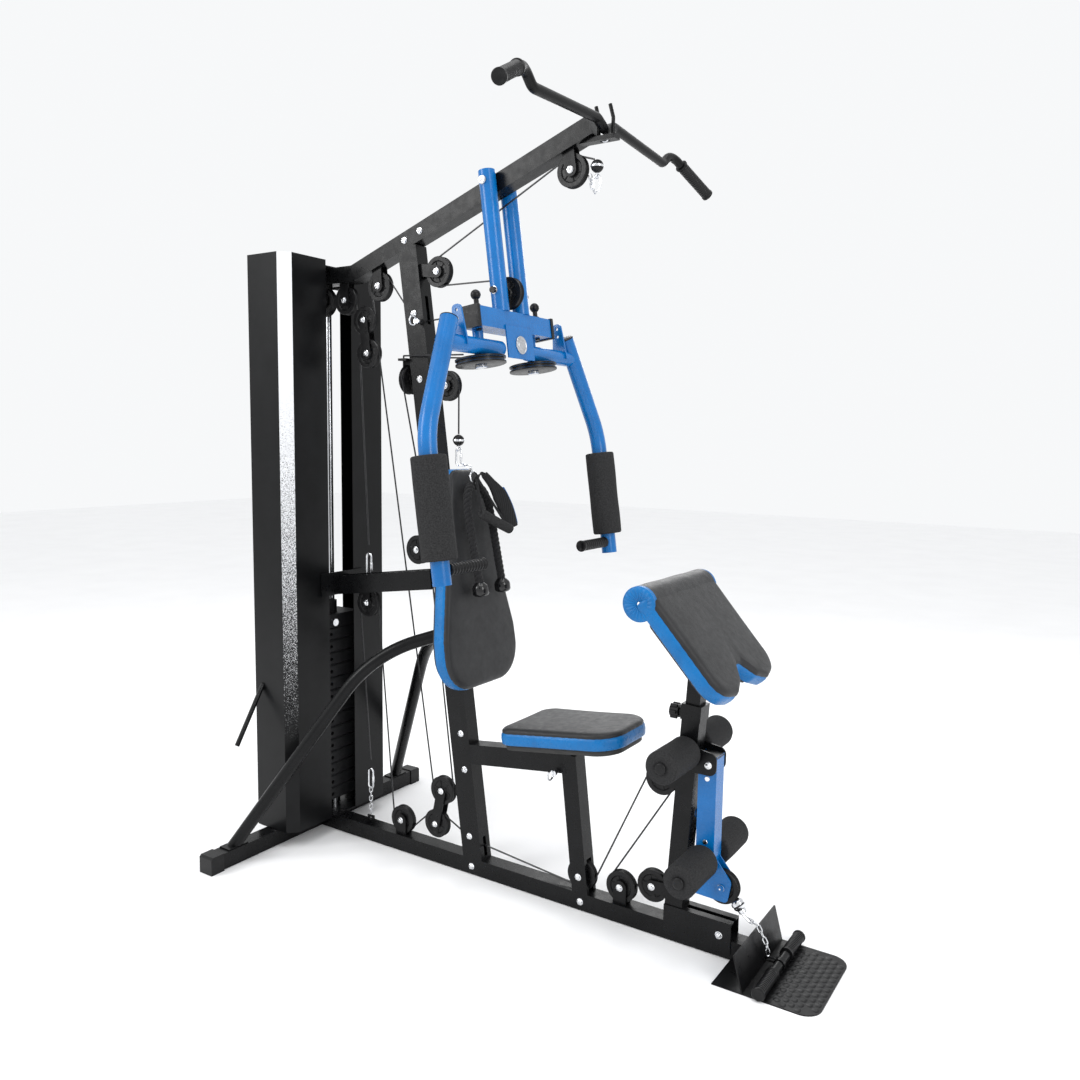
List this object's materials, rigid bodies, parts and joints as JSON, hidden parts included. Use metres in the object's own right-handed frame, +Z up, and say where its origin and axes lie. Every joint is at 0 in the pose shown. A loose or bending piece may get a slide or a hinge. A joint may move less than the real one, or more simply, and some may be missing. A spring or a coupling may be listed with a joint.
{
  "type": "multi station home gym",
  "caption": "Free-standing home gym: guarded weight tower, leaning upright, pulldown boom, press and butterfly arms, seat, curl pad, leg lever and low-row foot plate.",
  "frame": {"origin": "middle of the footprint box, on the floor", "axes": "+Z up, +X towards the foot plate and away from the weight tower, +Y to the sitter's left"},
  "size_m": [1.826, 1.127, 2.2014],
  "materials": {
    "satin_black": "satin powder coat",
    "blue_paint": "gloss powder coat",
    "chrome_steel": "bright plated",
    "black_plastic": "fine moulded texture",
    "cable_jacket": "smooth nylon jacket over steel rope",
    "vinyl": "fine-grained vinyl with bright blue sides",
    "foam": "closed-cell foam, matt",
    "cast_weight": "matt black coat",
    "tread": "raised tread pattern",
    "webbing": "woven nylon",
    "rope": "twisted nylon rope"
  },
  "bodies": {
    "frame": {"rear_stabiliser": "satin_black", "frame_end_caps": "black_plastic", "base_rail": "satin_black", "foot_plate": "tread", "main_upright": "satin_black", "top_boom": "satin_black", "right_guard": "satin_black", "left_guard": "satin_black", "tower_plates": "satin_black", "guide_rods": "chrome_steel", "weight_plates": "cast_weight", "side_braces": "satin_black", "rear_strut": "satin_black", "seat_frame": "satin_black", "seat_pad": "vinyl", "backrest_pad": "vinyl", "front_post": "satin_black", "frame_brackets": "satin_black", "frame_bolts": "chrome_steel", "upper_cables": "cable_jacket", "lower_cables": "cable_jacket", "lift_cable": "cable_jacket", "guide_pulleys": "black_plastic", "chains_and_stoppers": "chrome_steel"},
    "carriage": {"weight_carriage": "cast_weight"},
    "selector": {"selector_pin": "chrome_steel"},
    "press": {"press_frame": "blue_paint", "press_trim": "black_plastic", "press_cable_loop": "cable_jacket"},
    "right_arm": {"right_arm": "blue_paint", "right_arm_pads": "foam"},
    "left_arm": {"left_arm": "blue_paint", "left_arm_pads": "foam"},
    "right_pop_pin": {"right_pop_pin": "black_plastic"},
    "left_pop_pin": {"left_pop_pin": "black_plastic"},
    "seat_pull_pin": {"seat_pull_pin": "chrome_steel"},
    "upright_pull_pin": {"upright_pull_pin": "chrome_steel"},
    "curl_support": {"preacher_post": "satin_black", "preacher_pad": "vinyl"},
    "post_knob": {"post_knob": "black_plastic"},
    "lever": {"leg_lever": "blue_paint", "row_cable_end": "cable_jacket"},
    "knee_rollers": {"knee_rollers": "foam"},
    "ankle_rollers": {"ankle_rollers": "foam"},
    "lat_bar": {"lat_bar": "satin_black"},
    "row_bar": {"row_bar": "satin_black"},
    "hung_set": {"accessory_chain": "chrome_steel", "triceps_rope": "rope", "ankle_strap": "webbing", "stirrup_handle": "webbing"},
    "boom_tip_pulley": {"boom_tip_pulley": "black_plastic"},
    "upright_front_pulley": {"upright_front_pulley": "black_plastic"},
    "boom_mid_pulley": {"boom_mid_pulley": "black_plastic"},
    "chest_pulley": {"chest_pulley": "black_plastic"},
    "rail_rear_pulley": {"rail_rear_pulley": "black_plastic"},
    "seat_post_pulley": {"seat_post_pulley": "black_plastic"},
    "rail_front_pulley": {"rail_front_pulley": "black_plastic"},
    "post_upper_pulley": {"post_upper_pulley": "black_plastic"},
    "lever_pulley": {"lever_pulley": "black_plastic"},
    "press_pulley": {"press_pulley": "black_plastic"}
  },
  "joints": [
    {"name": "stack_lift", "type": "slide", "parent": "frame", "child": "carriage", "axis": [0, 0, 1], "range_m": [0, 0.75], "deforming": ["lift_cable"]},
    {"name": "selector_pull", "type": "slide", "parent": "carriage", "child": "selector", "axis": [1, 0, 0], "range_m": [0, 0.06]},
    {"name": "press_swing", "type": "hinge", "parent": "frame", "child": "press", "pos_m": [-0.124, 0, 2.041], "axis": [0, -1, 0], "range_deg": [0, 45]},
    {"name": "right_arm_swing", "type": "hinge", "parent": "press", "child": "right_arm", "pos_m": [-0.09108, -0.13, 1.5912], "axis": [-0.1392, 0, 0.9903], "range_deg": [0, 80]},
    {"name": "left_arm_swing", "type": "hinge", "parent": "press", "child": "left_arm", "pos_m": [-0.09108, 0.13, 1.5912], "axis": [0.1392, 0, -0.9903], "range_deg": [0, 80]},
    {"name": "right_pop_pin_lift", "type": "slide", "parent": "press", "child": "right_pop_pin", "axis": [-0.1392, 0, 0.9903], "range_m": [0, 0.012], "stiffness_N_per_m": 400},
    {"name": "left_pop_pin_lift", "type": "slide", "parent": "press", "child": "left_pop_pin", "axis": [-0.1392, 0, 0.9903], "range_m": [0, 0.012], "stiffness_N_per_m": 400},
    {"name": "seat_pin_pull", "type": "slide", "parent": "frame", "child": "seat_pull_pin", "axis": [0, -1, 0], "range_m": [0, 0.012], "stiffness_N_per_m": 400},
    {"name": "upright_pin_pull", "type": "slide", "parent": "frame", "child": "upright_pull_pin", "axis": [0, -1, 0], "range_m": [0, 0.012], "stiffness_N_per_m": 400},
    {"name": "curl_support_slide", "type": "slide", "parent": "frame", "child": "curl_support", "axis": [0.0628, 0, 0.998], "range_m": [0, 0.06]},
    {"name": "post_knob_turn", "type": "hinge", "parent": "frame", "child": "post_knob", "pos_m": [0.47116, 0, 0.628], "axis": [1, 0, 0], "continuous": true},
    {"name": "lever_swing", "type": "hinge", "parent": "frame", "child": "lever", "pos_m": [0.577, 0, 0.51], "axis": [0, -1, 0], "range_deg": [0, 80]},
    {"name": "knee_roller_spin", "type": "hinge", "parent": "frame", "child": "knee_rollers", "pos_m": [0.51524, 0, 0.534], "axis": [0, 1, 0], "continuous": true},
    {"name": "ankle_roller_spin", "type": "hinge", "parent": "lever", "child": "ankle_rollers", "pos_m": [0.572, 0, 0.255], "axis": [0, 1, 0], "continuous": true},
    {"name": "lat_bar_lift", "type": "slide", "parent": "frame", "child": "lat_bar", "axis": [0, 0, 1], "range_m": [0, 0.03]},
    {"name": "row_bar_swing", "type": "hinge", "parent": "frame", "child": "row_bar", "pos_m": [0.686, 0, 0.114], "axis": [0, -1, 0], "range_deg": [0, 60]},
    {"name": "hung_set_swing", "type": "hinge", "parent": "frame", "child": "hung_set", "pos_m": [-0.261, 0, 1.298], "axis": [0, -1, 0], "range_deg": [0, 40]},
    {"name": "boom_tip_pulley_spin", "type": "hinge", "parent": "frame", "child": "boom_tip_pulley", "pos_m": [0.122, 0, 2.048], "axis": [0, 1, 0], "continuous": true},
    {"name": "upright_front_pulley_spin", "type": "hinge", "parent": "frame", "child": "upright_front_pulley", "pos_m": [-0.335, 0, 1.822], "axis": [0, 1, 0], "continuous": true},
    {"name": "boom_mid_pulley_spin", "type": "hinge", "parent": "frame", "child": "boom_mid_pulley", "pos_m": [-0.569, 0, 1.797], "axis": [0, 1, 0], "continuous": true},
    {"name": "chest_pulley_spin", "type": "hinge", "parent": "frame", "child": "chest_pulley", "pos_m": [-0.301, 0, 1.488], "axis": [0, 1, 0], "continuous": true},
    {"name": "rail_rear_pulley_spin", "type": "hinge", "parent": "frame", "child": "rail_rear_pulley", "pos_m": [-0.48, 0, 0.099], "axis": [0, 1, 0], "continuous": true},
    {"name": "seat_post_pulley_spin", "type": "hinge", "parent": "frame", "child": "seat_post_pulley", "pos_m": [0.194, 0, 0.099], "axis": [0, 1, 0], "continuous": true},
    {"name": "rail_front_pulley_spin", "type": "hinge", "parent": "frame", "child": "rail_front_pulley", "pos_m": [0.321, 0, 0.099], "axis": [0, 1, 0], "continuous": true},
    {"name": "post_upper_pulley_spin", "type": "hinge", "parent": "frame", "child": "post_upper_pulley", "pos_m": [0.435, 0, 0.436], "axis": [0, 1, 0], "continuous": true},
    {"name": "lever_pulley_spin", "type": "hinge", "parent": "lever", "child": "lever_pulley", "pos_m": [0.616, 0, 0.183], "axis": [0, 1, 0], "continuous": true},
    {"name": "press_pulley_spin", "type": "hinge", "parent": "press", "child": "press_pulley", "pos_m": [-0.082, 0, 1.742], "axis": [0, 1, 0], "continuous": true}
  ]
}
